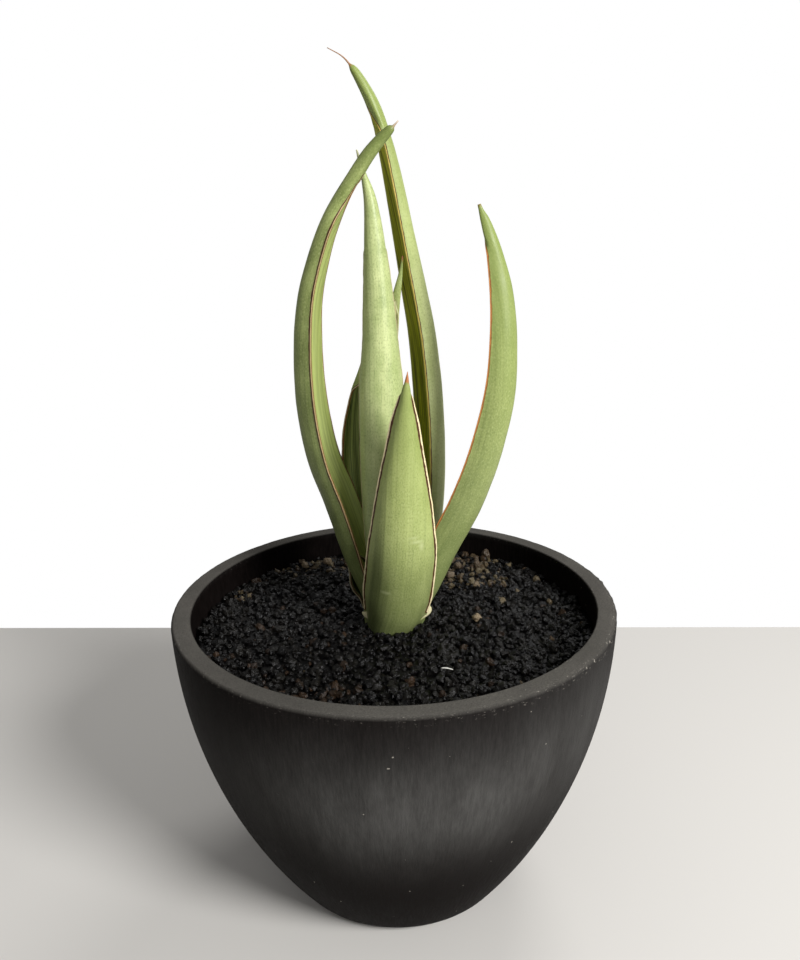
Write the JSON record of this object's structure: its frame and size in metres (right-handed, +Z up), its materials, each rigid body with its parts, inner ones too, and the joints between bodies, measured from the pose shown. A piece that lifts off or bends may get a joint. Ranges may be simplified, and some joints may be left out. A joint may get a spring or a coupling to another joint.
{
  "type": "potted snake plant",
  "caption": "Snake plant with tall channelled succulent leaves fanning from one crown in a dark bowl-shaped planter topped with black lava grit.",
  "frame": {"origin": "centre of the pot's foot, on the surface the pot stands on", "axes": "+Z up along the pot's axis; -Y is the front, the side of the short broad leaf; +X to the right seen from the front"},
  "size_m": [0.25, 0.25, 0.4632],
  "materials": {
    "pot": "satin",
    "leaf": "satin",
    "dry_sheath": "matte",
    "lava_grit": "matte",
    "pumice": "matte",
    "potting_mix": "matte",
    "rhizome": "matte"
  },
  "bodies": {
    "root": {"pot": "pot", "leaf_centre": "leaf", "leaf_back": "leaf", "leaf_tall": "leaf", "leaf_left": "leaf", "leaf_right": "leaf", "leaf_back_left": "leaf", "leaf_front": "leaf", "scale_leaf": "dry_sheath", "old_leaf_base": "dry_sheath", "rhizome": "rhizome", "grit_dressing": "lava_grit", "potting_mix": "potting_mix", "pale_stone_1": "pumice", "pale_stone_2": "pumice", "pale_stone_3": "pumice", "pale_stone_4": "pumice", "pale_stone_5": "pumice", "pale_stone_6": "pumice", "pale_stone_7": "pumice", "pale_stone_8": "pumice"}
  },
  "joints": []
}
